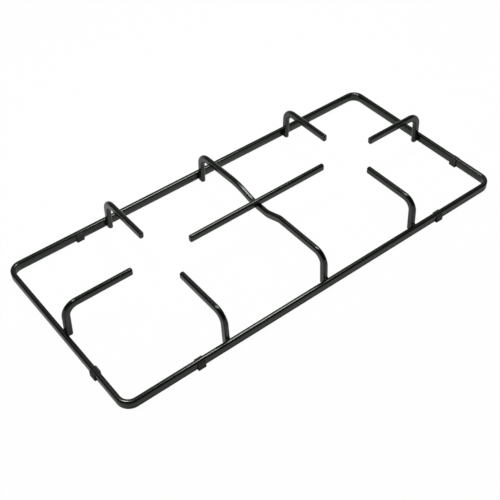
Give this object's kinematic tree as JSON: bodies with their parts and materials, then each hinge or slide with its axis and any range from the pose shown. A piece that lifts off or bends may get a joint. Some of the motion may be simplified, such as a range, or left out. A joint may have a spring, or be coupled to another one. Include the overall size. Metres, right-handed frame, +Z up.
{
  "type": "hob pan support",
  "caption": "Black enamelled wire pan support for a gas hob: a rounded rectangular bar frame on rubber feet, with bent wires that reach in over the burners to carry pans.",
  "frame": {"origin": "on the hob's surface, under the middle of the frame", "axes": "+X along the long side, +Y from the front rail to the back rail, +Z up to the pans"},
  "size_m": [0.4636, 0.2156, 0.0425],
  "materials": {
    "black_enamel": "gloss black vitreous enamel on steel",
    "foot_rubber": "matt moulded rubber"
  },
  "bodies": {
    "root": {"frame_ring": "black_enamel", "left_end_finger": "black_enamel", "right_end_finger": "black_enamel", "front_left_finger": "black_enamel", "front_right_finger": "black_enamel", "back_left_finger": "black_enamel", "back_right_finger": "black_enamel", "cross_wire": "black_enamel", "centre_bar": "black_enamel", "foot_front_left": "foot_rubber", "foot_front_right": "foot_rubber", "foot_back_left": "foot_rubber", "foot_back_right": "foot_rubber", "foot_left": "foot_rubber", "foot_right": "foot_rubber"}
  },
  "joints": []
}
